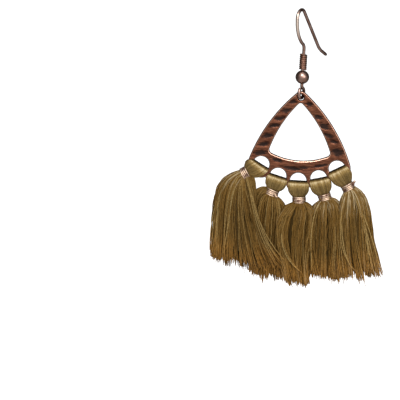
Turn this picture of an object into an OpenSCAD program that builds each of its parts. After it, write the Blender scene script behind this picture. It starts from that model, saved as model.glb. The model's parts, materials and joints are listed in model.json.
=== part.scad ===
// Tassel drop earring. A wire ear hook, with a bead and a close coil on its stem, carries a cast and
// hammered frame, and five thread tassels are looped round the frame's lower bar and tied with wire.
// Lengths are millimetres and angles are degrees. X runs along the row of tassels, Y from front to
// back and Z up. The origin is the underside of the hook's top bend, where it hangs in the ear.

/* [Ear hook] */
// Thickness of the hook's wire
wire_d = 0.68; // [0.6:0.02:0.74]
// Turn of the hook's plane from square to the frame
hook_yaw = 26; // [0:1:32]
// Inside width of the loop that carries the frame
loop_bore = 1.64; // [1.6:0.02:2.2]
// Radius of the kink between the loop and the stem
kink_r = 0.5; // [0.4:0.05:0.8]
// Straight wire between the kink and the bead
neck_len = 0.36; // [0.2:0.02:1]
// Free length of stem that the coil can slide along
coil_travel = 1; // [0.2:0.1:2]
// Radius of the bend where the stem leans forward
lean_r = 1.2; // [0.8:0.1:2]
// Angle that the wire leans forward
lean_angle = 62; // [40:1:65]
// Radius of the long front bow
bow_r = 6.3; // [4:0.1:9]
// Straight rise between the front bow and the top bend
bow_rise = 0.15; // [0.1:0.05:2]
// Radius of the top bend
top_r = 1.83; // [1.2:0.05:4]
// Angle of the top bend
top_angle = 136; // [120:1:160]
// Length of the back leg
back_len = 10.8; // [6:0.1:14]
// Radius of the flare above the tail
flare_r = 6; // [3:0.5:10]
// Angle of the flare
flare_angle = 23; // [10:1:40]
// Length of the straight tail
tail_len = 2.5; // [1.5:0.1:5]

/* [Bead and coil] */
// Width of the bead
bead_d = 3; // [2.4:0.1:4]
// Thickness of the coil's wire
coil_wire = 0.41; // [0.3:0.01:0.5]
// Turns of the coil
coil_turns = 7.7; // [4:0.1:10]
// Gap between the coil's turns
coil_gap = 0.02; // [0.01:0.01:0.1]

/* [Frame] */
// Thickness of the frame
plate_t = 1.15; // [0.9:0.05:1.3]
// Width of the bevel along the frame's edges
edge_w = 0.18; // [0.1:0.01:0.3]
// Height of the bevel along the frame's edges
edge_h = 0.2; // [0.1:0.01:0.3]
// Apex hole's width
apex_hole_d = 1.5; // [1.45:0.05:1.8]
// Width of metal round the apex hole
apex_rim = 0.62; // [0.4:0.02:0.8]
// Lean of the apex to the left of the row of holes
apex_lean = 0.44; // [0:0.02:1]
// Drop from the apex hole to the middle tassel hole
frame_drop = 18.45; // [16:0.1:22]
// Radius that the frame's sides bow with
side_r = 36; // [30:1:60]
// Width of each tassel hole
hole_d = 3.6; // [3:0.1:3.9]
// Radius of the arc that the tassel holes stand on
row_r = 12.4; // [11.5:0.1:15]
// Angle between neighbouring tassel holes
row_step = 21.1; // [20:0.1:24]
// Width of metal outside the tassel holes, which is the bar that the tassels hang from
bar_w = 1; // [0.8:0.05:1.4]
// Width of metal outside the first and last tassel holes
corner_w = 1.2; // [0.9:0.05:1.5]
// Width of the frame's sides at the window's lower corners
side_w = 3.2; // [2.8:0.05:4]
// Radius that the window's sides bow with
window_side_r = 27.5; // [24:1:50]
// Width of metal between the window and the middle tassel hole
sill_w = 2.65; // [2.2:0.05:3.2]
// Radius of the window's lower edge
sill_r = 15; // [12:0.5:30]
// Radius of the window's lower corners
window_corner_r = 0.9; // [0.5:0.05:1.3]
// Radius of the window's top
window_top_r = 0.6; // [0.4:0.05:0.9]
// Width of metal between the apex hole and the window
apex_bridge = 0.5; // [0.4:0.05:1.2]
// Length of a hammer mark
mark_l = 2.1; // [1.4:0.1:2.4]
// Width of a hammer mark
mark_w = 0.95; // [0.6:0.05:1.2]
// Depth of a hammer mark
mark_depth = 0.15; // [0.06:0.01:0.18]

/* [Tassels] */
// Width of the threads looped round the bar
wrap_w = 4.5; // [3.6:0.1:4.6]
// Thickness of the threads on each face of the frame
wrap_t = 0.95; // [0.6:0.05:1.2]
// Clearance between threads and metal
thread_gap = 0.05; // [0.03:0.01:0.08]
// Drop from a hole's centre to its tie's centre
tie_drop = 4.1; // [3.9:0.1:6]
// Width of the tied neck
neck_d = 1.6; // [1.2:0.1:2]
// Length of a tassel below its tie
skirt_len = 18.5; // [12:0.5:26]
// Width of a tassel's skirt
skirt_w = 7.2; // [6:0.1:7.3]
// Depth of a tassel's skirt
skirt_d = 6.4; // [5:0.1:8]
// Locks of threads round each skirt
locks = 8; // [6:1:10]
// Depth of the creases between locks, as a share of the skirt's half width
crease = 0.16; // [0.05:0.01:0.25]

/* [Ties] */
// Thickness of the tie's wire
tie_wire = 0.4; // [0.3:0.02:0.5]
// Turns of each tie
tie_turns = 4; // [3:1:5]

/* [Hidden] */
$fn = 48;

HOOK_BROWN = "#7d5a4e";
FRAME_COPPER = "#78411f";
THREAD_OLIVE = "#8a7440";
TIE_ROSE = "#c79a86";

// Clearance of the bead's bore and of the coil's on the wire
BEAD_FIT = 0.03;
COIL_FIT = 0.06;
// Gap between the coil's lowest turn and the bead
COIL_SEAT = 0.03;
// How far the loop sinks below the apex hole's centre, as a share of how far its wire climbs from
// there to the faces of the frame, so that the wire clears both rims of the hole
LOOP_SINK = 0.8;
// Angle of the loop's cut end past its top
LOOP_END = 34;
// The ball that joins two stretches of wire stands this far out of them
BALL = 0.012;
// Length that each stretch of wire stops short of the middle of a ball
SEAM = 0.02;
// Flat sides round the coil's wire, and steps along each of its turns
COIL_SIDES = 6;
COIL_STEPS = 16;

// Vectors in the plane of the frame are [x, z]
function turned(v, a) = [v[0] * cos(a) - v[1] * sin(a), v[0] * sin(a) + v[1] * cos(a)];
function bearing(from, to) = atan2(to[1] - from[1], to[0] - from[0]);
function polar(r, a) = [r * cos(a), r * sin(a)];
function mixed(a, b, t) = a * (1 - t) + b * t;

// Largest angle between two points of a wide, a middling and a small arc
WIDE_STEP = 3;
MID_STEP = 10;
SMALL_STEP = 12;

// Points on an arc that runs anticlockwise from one angle to the next one past it
function arc(c, r, from, to, step) =
    let (sweep = to - from - 360 * floor((to - from) / 360), n = max(1, ceil(sweep / step)))
    [for (i = [0:n]) c + polar(r, from + sweep * i / n)];

// Point at distance a from c1 and b from c2, on the left of the way from c1 to c2
function meet(c1, a, c2, b) =
    let (d = norm(c2 - c1), x = (a * a - b * b + d * d) / (2 * d))
    c1 + turned([x, sqrt(a * a - x * x)], bearing(c1, c2));

// Centre of a wide circle of radius r that holds two discs and touches both from outside
function edge_centre(c1, r1, c2, r2, r) = meet(c1, r - r1, c2, r - r2);

// Ear hook. Each row of its path is a straight run and then a bend, and its wire starts upward from
// the loop's cut end. Bends are positive towards the front.
RUN = 0;
RADIUS = 1;
TURN = 2;

loop_r = (loop_bore + wire_d) / 2;
loop_climb = loop_r - sqrt(loop_r * loop_r - pow(plate_t / 2 / cos(hook_yaw), 2));
loop_z = loop_r - LOOP_SINK * loop_climb;
kink_rise = sqrt(loop_r * loop_r + 2 * loop_r * kink_r);
kink_side = atan(kink_r / kink_rise);
bead_z = loop_z + kink_rise + neck_len + bead_d / 2;

coil_r = wire_d / 2 + COIL_FIT + coil_wire / 2;
coil_pitch = coil_wire + coil_gap;
coil_z = bead_z + sqrt(pow(bead_d / 2 + COIL_SEAT, 2) - pow(wire_d / 2 + COIL_FIT, 2)) + coil_wire / 2;
coil_top = coil_z + coil_turns * coil_pitch + coil_wire / 2;
stem_run = coil_top + coil_travel - loop_z - kink_rise;

HOOK_PATH = [
    [0, loop_r, 360 - LOOP_END - kink_side],
    [0, kink_r, kink_side - 90],
    [stem_run, lean_r, lean_angle],
    [0, bow_r, -lean_angle],
    [bow_rise, top_r, -top_angle],
    [back_len, flare_r, flare_angle],
    [tail_len, 0, 0]
];

hang_z = loop_z + kink_rise + stem_run + (lean_r + bow_r) * sin(lean_angle) + bow_rise + top_r - wire_d / 2;
hang_u = top_r - (lean_r + bow_r) * (1 - cos(lean_angle));
HANG = [hang_u * sin(hook_yaw), hang_u * cos(hook_yaw), hang_z];

// Puts a shape that is drawn about the apex hole into the part's own frame
module from_apex() {
    translate(-HANG) children();
}

// Turns the plane of a drawing with X to the back into the hook's plane
module in_hook_plane() {
    rotate([0, 0, 90 - hook_yaw]) children();
}

module bend(r, a) {
    short = SEAM / r * 180 / PI;
    mirror([a < 0 ? 1 : 0, 0, 0])
        translate([-r, 0, 0])
            rotate([90, 0, 0]) rotate([0, 0, short])
                rotate_extrude(angle = abs(a) - 2 * short) translate([r, 0]) circle(d = wire_d);
}

// The wire's runs and bends end a seam short of each other inside a ball that joins them
module wire(path, i = 0) {
    sphere(d = wire_d + (i < len(path) ? 2 * BALL : 0));
    if (i < len(path)) {
        run = path[i][RUN];
        r = path[i][RADIUS];
        a = path[i][TURN];
        side = a < 0 ? -1 : 1;
        if (run > 0) {
            translate([0, 0, SEAM]) cylinder(h = run - 2 * SEAM, d = wire_d);
            if (a != 0) translate([0, 0, run]) sphere(d = wire_d + 2 * BALL);
        }
        translate([0, 0, run]) {
            if (a != 0) bend(r, a);
            translate([-side * r * (1 - cos(a)), 0, side * r * sin(a)])
                rotate([0, -a, 0]) wire(path, i + 1);
        }
    }
}

module ear_hook() {
    color(HOOK_BROWN)
        from_apex() in_hook_plane()
            translate([0, 0, loop_z])
                rotate([0, -LOOP_END - 90, 0]) translate([loop_r, 0, 0]) wire(HOOK_PATH);
}

module hook_bead() {
    color(HOOK_BROWN)
        from_apex() translate([0, 0, bead_z])
            difference() {
                sphere(d = bead_d);
                cylinder(h = bead_d + 1, d = wire_d + 2 * BEAD_FIT, center = true);
            }
}

module hook_coil() {
    n = ceil(coil_turns * COIL_STEPS);
    rings = [for (i = [0:n])
        let (a = 360 * coil_turns * i / n, tilt = atan(coil_pitch / (360 * coil_r * PI / 180)))
        [for (k = [0:COIL_SIDES - 1])
            let (b = 360 * k / COIL_SIDES, out = coil_wire / 2 * cos(b), up = coil_wire / 2 * sin(b))
            [(coil_r + out) * cos(a) + up * sin(tilt) * sin(a),
             (coil_r + out) * sin(a) - up * sin(tilt) * cos(a),
             coil_pitch * coil_turns * i / n + up * cos(tilt)]]];
    color(HOOK_BROWN) from_apex() translate([0, 0, coil_z]) skin(rings);
}

// Closed solid through rings of points that all have the same number of points
module skin(rings) {
    m = len(rings[0]);
    n = len(rings);
    walls = [for (i = [0:n - 2], k = [0:m - 1])
        let (a = i * m + k, b = i * m + (k + 1) % m)
        each [[a, a + m, b + m], [a, b + m, b]]];
    first = [[for (k = [0:m - 1]) k]];
    last = [[for (k = [m - 1:-1:0]) (n - 1) * m + k]];
    polyhedron([for (ring = rings) each ring], concat(walls, first, last));
}

// Frame, drawn about the apex hole. Each tassel hole has a lobe of metal round it.
hole_r = hole_d / 2;
apex_r = apex_hole_d / 2 + apex_rim;
row_centre = [apex_lean, row_r - frame_drop];
HOLES = [for (i = [-2:2]) row_centre + polar(row_r, -90 + i * row_step)];
LAST = len(HOLES) - 1;
LOBES = [for (i = [0:LAST]) hole_r + (i == 0 || i == LAST ? corner_w : bar_w)];
RIGHT_SIDE = edge_centre(HOLES[LAST], LOBES[LAST], [0, 0], apex_r, side_r);
LEFT_SIDE = edge_centre([0, 0], apex_r, HOLES[0], LOBES[0], side_r);

// Bearing from lobe i to the point where its rim crosses that of lobe j, both grown by g, on the
// outer side of the row
function cusp(i, j, g) =
    let (
        d = norm(HOLES[j] - HOLES[i]),
        a = LOBES[i] + g,
        b = LOBES[j] + g,
        off = acos((a * a - b * b + d * d) / (2 * d * a))
    )
    bearing(HOLES[i], HOLES[j]) + (j < i ? off : -off);

// Outline of the frame, grown outwards by g
function outline(g) = concat(
    arc(RIGHT_SIDE, side_r + g, bearing(RIGHT_SIDE, HOLES[LAST]), bearing(RIGHT_SIDE, [0, 0]), WIDE_STEP),
    arc([0, 0], apex_r + g, bearing(RIGHT_SIDE, [0, 0]), bearing(LEFT_SIDE, [0, 0]), SMALL_STEP),
    arc(LEFT_SIDE, side_r + g, bearing(LEFT_SIDE, [0, 0]), bearing(LEFT_SIDE, HOLES[0]), WIDE_STEP),
    [for (i = [0:LAST])
        each arc(HOLES[i], LOBES[i] + g,
            i == 0 ? bearing(LEFT_SIDE, HOLES[0]) : cusp(i, i - 1, g),
            i == LAST ? bearing(RIGHT_SIDE, HOLES[i]) : cusp(i, i + 1, g), MID_STEP)]
);

// Window: a disc under the apex hole and two corner discs, joined by wide arcs
SILL = row_centre + [0, sill_r + hole_r + sill_w - row_r];
CORNER_TO_SIDE = side_r - side_w - window_corner_r;
WINDOW_DISCS = [
    [0, -apex_hole_d / 2 - apex_bridge - window_top_r],
    meet(LEFT_SIDE, CORNER_TO_SIDE, SILL, sill_r - window_corner_r),
    meet(SILL, sill_r - window_corner_r, RIGHT_SIDE, CORNER_TO_SIDE)
];
WINDOW_ROUNDS = [window_top_r, window_corner_r, window_corner_r];
WINDOW_BOWS = [window_side_r, sill_r, window_side_r];

WINDOW = let (
        c = WINDOW_DISCS,
        r = WINDOW_ROUNDS,
        bow = [for (i = [0:2]) let (j = (i + 1) % 3) edge_centre(c[i], r[i], c[j], r[j], WINDOW_BOWS[i])]
    )
    [for (i = [0:2])
        let (j = (i + 1) % 3, k = (i + 2) % 3)
        each concat(
            arc(c[i], r[i], bearing(bow[k], c[i]), bearing(bow[i], c[i]), SMALL_STEP),
            arc(bow[i], WINDOW_BOWS[i], bearing(bow[i], c[i]), bearing(bow[i], c[j]), WIDE_STEP)
        )];

// Hammer marks on the sides. Columns: side, share of the way from the apex to the last hole, share of
// side_w in from the outline, length and width as shares of mark_l and mark_w
SIDE_MARKS = [
    [-1, 0.11, 0.28, 0.75, 0.8],
    [-1, 0.24, 0.35, 0.9, 0.8],
    [-1, 0.37, 0.42, 0.9, 0.8],
    [-1, 0.48, 0.44, 1, 0.85],
    [-1, 0.63, 0.44, 1, 1],
    [-1, 0.75, 0.5, 0.95, 1],
    [-1, 0.87, 0.55, 1.3, 1.1],
    [1, 0.13, 0.36, 0.7, 0.9],
    [1, 0.315, 0.36, 1, 0.8],
    [1, 0.45, 0.43, 1, 1],
    [1, 0.57, 0.55, 0.9, 0.9],
    [1, 0.675, 0.4, 0.9, 0.8],
    [1, 0.81, 0.5, 1.2, 1.5]
];
// Hammer marks between the window and the holes. Columns: steps along the row from its middle, share
// of sill_w above the holes, length and width as shares of mark_l and mark_w
SILL_MARKS = [[-1.5, 0.4, 0.8, 0.6], [-0.46, 0.3, 1.7, 0.75], [1.35, 0.22, 1.1, 0.6]];
// Tilt of the marks on the sides, down and outwards
MARK_TILT = 12;

function side_point(side, way, across) =
    let (
        c = side < 0 ? LEFT_SIDE : RIGHT_SIDE,
        from = bearing(c, [0, 0]),
        to = bearing(c, HOLES[side < 0 ? 0 : LAST])
    )
    c + polar(side_r - across * side_w, mixed(from, to, way));

// Shape that one hammer mark takes out of the front: a slim spindle laid in the face
module mark(p, l, w, tilt) {
    belly = (w * w / 4 + mark_depth * mark_depth) / (2 * mark_depth);
    bow = (l * l / 4 + mark_depth * mark_depth) / (2 * mark_depth);
    translate([p[0], mark_depth - plate_t / 2 - belly, p[1]])
        rotate([0, 90 - tilt, 0])
            rotate_extrude()
                intersection() {
                    translate([belly - bow, 0]) circle(r = bow);
                    translate([0, -l]) square([bow, 2 * l]);
                }
}

// Extrudes a drawing in [x, z] to a plate that is centred on the frame's middle plane
module plate(t) {
    rotate([90, 0, 0]) linear_extrude(height = t, center = true) children();
}

module hammered_frame() {
    color(FRAME_COPPER) from_apex()
        difference() {
            union() {
                plate(plate_t - 2 * edge_h) polygon(outline(0));
                plate(plate_t) polygon(outline(-edge_w));
            }
            plate(plate_t + 1) polygon(WINDOW);
            plate(plate_t + 1) circle(d = apex_hole_d);
            for (c = HOLES) plate(plate_t + 1) translate(c) circle(d = hole_d);
            for (m = SIDE_MARKS)
                mark(side_point(m[0], m[1], m[2]), m[3] * mark_l, m[4] * mark_w, m[0] * MARK_TILT);
            for (m = SILL_MARKS)
                mark(row_centre + polar(row_r - hole_r - m[1] * sill_w, -90 + m[0] * row_step),
                    m[2] * mark_l, m[3] * mark_w, -m[0] * row_step / 2);
        }
}

// Tassels. Columns of TASSELS: lean of the neck from straight down, share of tie_drop, shift of the
// skirt's foot to the right as a share of skirt_w, its width and length as shares of skirt_w and
// skirt_len, its shift to the back as a share of skirt_d, and the rise of its cut ends to the right
LEAN = 0;
DROP = 1;
SHIFT = 2;
WIDTH = 3;
LENGTH = 4;
BACK = 5;
CUT = 6;
TASSELS = [
    [-56, 0.99, -0.31, 1.15, 1.04, -0.08, -0.36],
    [-17, 0.94, -0.21, 0.74, 0.95, 0.14, 0],
    [6, 1.01, -0.12, 0.93, 0.94, -0.08, -0.05],
    [21, 1.05, 0.025, 0.68, 0.93, 0.16, 0],
    [34, 1.14, 0.51, 1.1, 1, -0.06, 0.02]
];

// Pitch of the tie's turns as a share of its wire, so that neighbouring turns join
TIE_PITCH = 0.95;
// Facets round a tassel hole where the threads pass through it
HOLE_FACETS = 28;

tie_pitch = TIE_PITCH * tie_wire;
tie_h = (tie_turns - 1) * tie_pitch + tie_wire;
tie_r = neck_d / 2 + thread_gap + tie_wire / 2;
// Half of the bare neck's length between the threads over the bar and the skirt
neck_half = tie_h / 2 + 2 * thread_gap;

function down(a) = [sin(a), 0, -cos(a)];
function across(a) = [cos(a), 0, sin(a)];
function hole_at(i) = [HOLES[i][0], 0, HOLES[i][1]];
function tie_at(i) = hole_at(i) + tie_drop * TASSELS[i][DROP] * down(TASSELS[i][LEAN]);

// Form of the threads between the hole and the tie. Columns: share of the way, width as a share of
// wrap_w, and depth as a share of the depth over the frame
WRAP_FORM = [
    [0.03, 0.7, 0.42],
    [0.06, 0.86, 0.78],
    [0.16, 0.96, 0.97],
    [0.34, 1, 1],
    [0.52, 0.97, 1],
    [0.66, 0.82, 0.92],
    [0.76, 0.58, 0.74]
];

// Shares of the way from the tie to the cut ends at which the skirt has a ring, and how deep the
// creases between its locks are there as a share of the full crease
SKIRT_FORM = [
    [0, 0], [0.05, 0.1], [0.1, 0.3], [0.16, 0.5], [0.24, 0.7], [0.34, 0.85], [0.46, 1],
    [0.6, 1], [0.74, 1], [0.88, 1], [1, 1]
];

// Each lock's own swell and its own length, as shares, from its number and its tassel's
LOCK_SWELL = 0.07;
LOCK_UNEVEN = 0.02;
function swell(i, j) = 1 + LOCK_SWELL * cos(137 * j + 71 * i);
function uneven(i, j) = LOCK_UNEVEN * cos(223 * j + 97 * i);

// Curve of a thread: the length for which it leaves the tie straight and the length for which it hangs
// straight above its cut end, as shares of the skirt's length, how wide it would swing between them as
// a share of the skirt's own width, and how much of its tassel's lean it keeps there
LEAVE = 0.1;
HANG_STRAIGHT = 0.6;
SWING = 1.22;
KEEP_LEAN = 0.3;
// The ring inside the cut ends: its width as a share of theirs, and its rise as a share of skirt_len
CORE_SHARE = 0.55;
CORE_RISE = 0.02;

function curve(p, t) =
    pow(1 - t, 3) * p[0] + 3 * t * pow(1 - t, 2) * p[1] + 3 * t * t * (1 - t) * p[2] + pow(t, 3) * p[3];

function ellipse_ring(c, x, y, rx, ry) =
    [for (k = [0:sides - 1]) let (a = 360 * k / sides) c + x * rx * cos(a) + y * ry * sin(a)];

sides = 4 * locks;

// Way of the k-th thread of tassel i from its tie to its cut end, with its crease at full depth
// times c
function thread_way(i, k, c) =
    let (
        row = TASSELS[i],
        lean = row[LEAN],
        a = 360 * k / sides,
        lock = floor((k + 2) / 4),
        form = 1 - crease * c * (1 - abs(cos(locks * a / 2))) * swell(i, lock),
        top = tie_at(i) + neck_half * down(lean),
        length = skirt_len * row[LENGTH],
        wide = form * cos(a) * skirt_w * row[WIDTH] / 2,
        deep = form * sin(a) * skirt_d / 2,
        foot = [tie_at(i)[0] + row[SHIFT] * skirt_w, row[BACK] * skirt_d, top[2] - length],
        start = top + neck_d / 2 * (across(lean) * cos(a) + [0, sin(a), 0]),
        end = foot + [wide, deep, wide * row[CUT] + length * uneven(i, lock)]
    )
    [
        start,
        start + LEAVE * length * down(lean) + SWING * (across(KEEP_LEAN * lean) * wide + [0, deep, 0]),
        end + [0, 0, HANG_STRAIGHT * length],
        end
    ];

// Flat ring inside the skirt's cut ends
function end_ring(i) =
    let (
        row = TASSELS[i],
        ways = [for (k = [0:sides - 1]) thread_way(i, k, 0)[3]],
        centre = [for (way = ways) 1 / sides] * ways
    )
    [for (p = ways)
        let (q = mixed(centre, p, CORE_SHARE))
        [q[0], q[1], centre[2] + (q[0] - centre[0]) * row[CUT] + CORE_RISE * skirt_len]];

module tassel(i) {
    lean = TASSELS[i][LEAN];
    start = (i - LAST / 2) * row_step;
    way = tie_at(i) - hole_at(i);
    over = plate_t / 2 + thread_gap + wrap_t;
    wrap_rings = [for (row = WRAP_FORM)
        ellipse_ring(hole_at(i) + way * row[0], across(mixed(start, lean, row[0])), [0, 1, 0],
            row[1] * wrap_w / 2, row[2] * over)];
    neck_ring = ellipse_ring(tie_at(i) - neck_half * down(lean), across(lean), [0, 1, 0], neck_d / 2, neck_d / 2);
    skirt_rings = [for (row = SKIRT_FORM)
        [for (k = [0:sides - 1]) curve(thread_way(i, k, row[1]), row[0])]];
    color(THREAD_OLIVE) from_apex()
        difference() {
            skin(concat(wrap_rings, [neck_ring], skirt_rings, [end_ring(i)]));
            difference() {
                plate(plate_t + 2 * thread_gap) polygon(outline(thread_gap));
                plate(plate_t + 1) translate(HOLES[i]) circle(d = hole_d - 2 * thread_gap, $fn = HOLE_FACETS);
            }
        }
}

module tie(i) {
    color(TIE_ROSE) from_apex()
        translate(tie_at(i)) rotate([0, 180 - TASSELS[i][LEAN], 0])
            rotate_extrude()
                for (k = [0:tie_turns - 1])
                    translate([tie_r, (k - (tie_turns - 1) / 2) * tie_pitch]) circle(d = tie_wire);
}

ear_hook();
hook_bead();
hook_coil();
hammered_frame();
for (i = [0:LAST]) {
    tassel(i);
    tie(i);
}
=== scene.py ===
"""Tassel drop earring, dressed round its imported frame.

A bronzed ear wire with a bead and a close coil carries a hammered copper frame. Five bundles of olive
rayon thread are looped round the frame's lower bar, tied with rose wire, and fall in soft locks.

Shapes are drawn in millimetres about the centre of the frame's top hole: X along the row of tassels,
Y from front to back and Z up. Each finished mesh is then put in its place in the part, in metres.
"""

from __future__ import annotations

import json
import logging
import math
import random
from collections.abc import Sequence
from dataclasses import dataclass, field
from enum import Enum

import bmesh
import bpy
from mathutils import Matrix, Vector, noise

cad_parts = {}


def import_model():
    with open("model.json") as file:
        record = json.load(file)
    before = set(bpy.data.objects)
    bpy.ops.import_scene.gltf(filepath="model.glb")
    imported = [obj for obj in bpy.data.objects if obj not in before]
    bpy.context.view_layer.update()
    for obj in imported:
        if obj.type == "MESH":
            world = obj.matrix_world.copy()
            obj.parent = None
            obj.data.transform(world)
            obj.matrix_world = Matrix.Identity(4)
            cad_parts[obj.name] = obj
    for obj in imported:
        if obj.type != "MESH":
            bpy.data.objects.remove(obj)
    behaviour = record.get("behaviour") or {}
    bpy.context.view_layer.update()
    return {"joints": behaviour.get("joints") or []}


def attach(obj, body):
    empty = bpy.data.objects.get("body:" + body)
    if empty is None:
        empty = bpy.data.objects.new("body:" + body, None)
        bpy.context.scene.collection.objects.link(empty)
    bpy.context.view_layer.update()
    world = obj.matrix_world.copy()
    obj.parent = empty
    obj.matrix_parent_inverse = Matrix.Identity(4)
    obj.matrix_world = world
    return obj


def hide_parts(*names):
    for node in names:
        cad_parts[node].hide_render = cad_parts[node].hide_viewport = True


LOG = logging.getLogger("tassel_earring")
Triple = tuple[float, float, float]
MM = 0.001
# Points that are nearer than this, in millimetres, are one
SAME_PLACE = 1e-4
# A frame point whose rim value is above this lies on the flat of the plate
ON_THE_FLAT = 0.999
# Degrees of a closed ring, just short of a whole turn, which would count as none
FULL_TURN = 359.9
# A strand ends in a low cone, whose height is this share of its radius
TIP_RISE = 0.2


class Slot(Enum):
    """The record's material slots."""

    HOOK = "hook_metal"
    FRAME = "frame_metal"
    THREAD = "thread"
    TIE = "tie_metal"


class Side(Enum):
    """The two faces of the frame, by the sign of their Y."""

    FRONT = -1
    BACK = 1


# Drawing helpers


def polar(radius: float, degrees: float) -> Vector:
    """Point of the plane [x, z] at a radius and an angle."""
    return Vector((radius * math.cos(math.radians(degrees)), radius * math.sin(math.radians(degrees))))


def bearing(start: Vector, end: Vector) -> float:
    """Angle in degrees of the way from one point of the plane to another."""
    return math.degrees(math.atan2(end.y - start.y, end.x - start.x))


def meet(first: Vector, near: float, second: Vector, far: float) -> Vector:
    """Find where two circles cross, on the left of the way between their centres.

    Args:
        first: centre of the first circle.
        near: radius of the first circle.
        second: centre of the second circle.
        far: radius of the second circle.

    Returns:
        The crossing point.
    """
    gap = (second - first).length
    along = (near * near - far * far + gap * gap) / (2 * gap)
    off = math.sqrt(near * near - along * along)
    way = (second - first) / gap
    return first + along * way + off * Vector((-way.y, way.x))


def arc(centre: Vector, radius: float, start: float, end: float, step: float) -> list[Vector]:
    """Points on an arc that runs anticlockwise from one angle to the next one past it.

    Args:
        centre: centre of the arc.
        radius: radius of the arc.
        start: first angle in degrees.
        end: last angle in degrees.
        step: largest angle between two points.

    Returns:
        The points, with both ends.
    """
    sweep = (end - start) % 360
    count = max(1, math.ceil(sweep / step))
    return [centre + polar(radius, start + sweep * i / count) for i in range(count + 1)]


def down(lean: float) -> Vector:
    """Direction that is turned by lean degrees from straight down, to the right."""
    return Vector((math.sin(math.radians(lean)), 0, -math.cos(math.radians(lean))))


def across(lean: float) -> Vector:
    """Direction square to down(lean), to the right."""
    return Vector((math.cos(math.radians(lean)), 0, math.sin(math.radians(lean))))


def mixed(a: float, b: float, share: float) -> float:
    """Value between a and b."""
    return a + (b - a) * share


def bezier(points: list[Vector], t: float) -> Vector:
    """Point at t on a cubic curve with four control points."""
    s = 1 - t
    return s**3 * points[0] + 3 * t * s * s * points[1] + 3 * t * t * s * points[2] + t**3 * points[3]


# Mesh helpers


def put_in_scene(name: str, data: bpy.types.ID) -> bpy.types.Object:
    """Add an object to the scene.

    Args:
        name: name of the object.
        data: its mesh, camera or light.

    Returns:
        The new object, at the origin.
    """
    thing = bpy.data.objects.new(name, data)
    bpy.context.scene.collection.objects.link(thing)
    return thing


def show(name: str, mesh: bpy.types.Mesh, apex: Vector) -> bpy.types.Object:
    """Put a mesh that is drawn in millimetres into the part as an object.

    Args:
        name: name of the piece.
        mesh: the mesh, about the frame's top hole.
        apex: place of that hole's centre in the part, in metres.

    Returns:
        The new object, at the origin, with its place in its mesh.
    """
    mesh.name = name
    mesh.transform(Matrix.Translation(apex) @ Matrix.Scale(MM, 4))
    return put_in_scene(name, mesh)


def finish_mesh(name: str, bm: bmesh.types.BMesh, smooth_below: float) -> bpy.types.Mesh:
    """Turn a bmesh into a mesh that is smooth except at its sharp edges.

    Args:
        name: name of the mesh.
        bm: the shape, which is freed.
        smooth_below: largest angle in degrees that is shaded smooth.

    Returns:
        The mesh.
    """
    for face in bm.faces:
        face.smooth = True
    for edge in bm.edges:
        edge.smooth = len(edge.link_faces) == 2 and edge.calc_face_angle(0) < math.radians(smooth_below)
    mesh = bpy.data.meshes.new(name)
    bm.to_mesh(mesh)
    bm.free()
    return mesh


@dataclass
class Strand:
    """One thread or wire: its route, radius and tint, the shade along it and how blunt its ends are."""

    route: list[Vector]
    radius: float
    tint: float = 0.5
    shade: tuple[float, ...] = ()
    blunt: float = 0.6


def spin_strands(name: str, strands: list[Strand], sides: int) -> bpy.types.Mesh:
    """Make one mesh of closed round strands, with what the finishes read from it.

    Attribute along runs from 0 to 1 over each strand, tint is the strand's own value, and shade is
    how far a point lies in the dark.

    Args:
        name: name of the mesh.
        strands: the strands, in millimetres.
        sides: flat sides round each strand, which is even and at least 4.

    Returns:
        The mesh.
    """
    curve = bpy.data.curves.new(name, "CURVE")
    curve.dimensions = "3D"
    curve.bevel_depth = 1
    curve.bevel_resolution = (sides - 4) // 2
    curve.twist_mode = "MINIMUM"
    along, tint, shade = [], [], []
    for strand in strands:
        route = strand.route
        tip = TIP_RISE * strand.radius
        route = [route[0] + (route[0] - route[1]).normalized() * tip] + route
        route.append(route[-1] + (route[-1] - route[-2]).normalized() * tip)
        count = len(route)
        radii = [0.0, strand.blunt] + [1.0] * (count - 4) + [strand.blunt, 0.0]
        spline = curve.splines.new("POLY")
        spline.points.add(count - 1)
        spline.points.foreach_set("co", [c for p in route for c in (p.x, p.y, p.z, 1.0)])
        spline.points.foreach_set("radius", [strand.radius * r for r in radii])
        darkness = strand.shade or (0.0,) * len(strand.route)
        for k in range(count):
            along += [max(0, min(1, (k - 1) / (count - 3)))] * sides
            tint += [strand.tint] * sides
            shade += [darkness[max(0, min(len(darkness) - 1, k - 1))]] * sides
    thing = bpy.data.objects.new(name, curve)
    mesh = bpy.data.meshes.new_from_object(thing)
    bpy.data.objects.remove(thing)
    bpy.data.curves.remove(curve)
    for label, values in (("along", along), ("tint", tint), ("shade", shade)):
        mesh.attributes.new(label, "FLOAT", "POINT").data.foreach_set("value", values)
    bm = bmesh.new()
    bm.from_mesh(mesh)
    bmesh.ops.remove_doubles(bm, verts=bm.verts[:], dist=SAME_PLACE)
    bm.to_mesh(mesh)
    bm.free()
    mesh.shade_smooth()
    return mesh


# Colours and finishes


def linear(hex_colour: str) -> tuple[float, float, float, float]:
    """Turn an sRGB hex colour such as #8a7440 to linear red, green, blue and alpha."""
    shares = [byte / 255 for byte in bytes.fromhex(hex_colour[1:])]
    return (*(s / 12.92 if s <= 0.04045 else ((s + 0.055) / 1.055) ** 2.4 for s in shares), 1.0)


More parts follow.
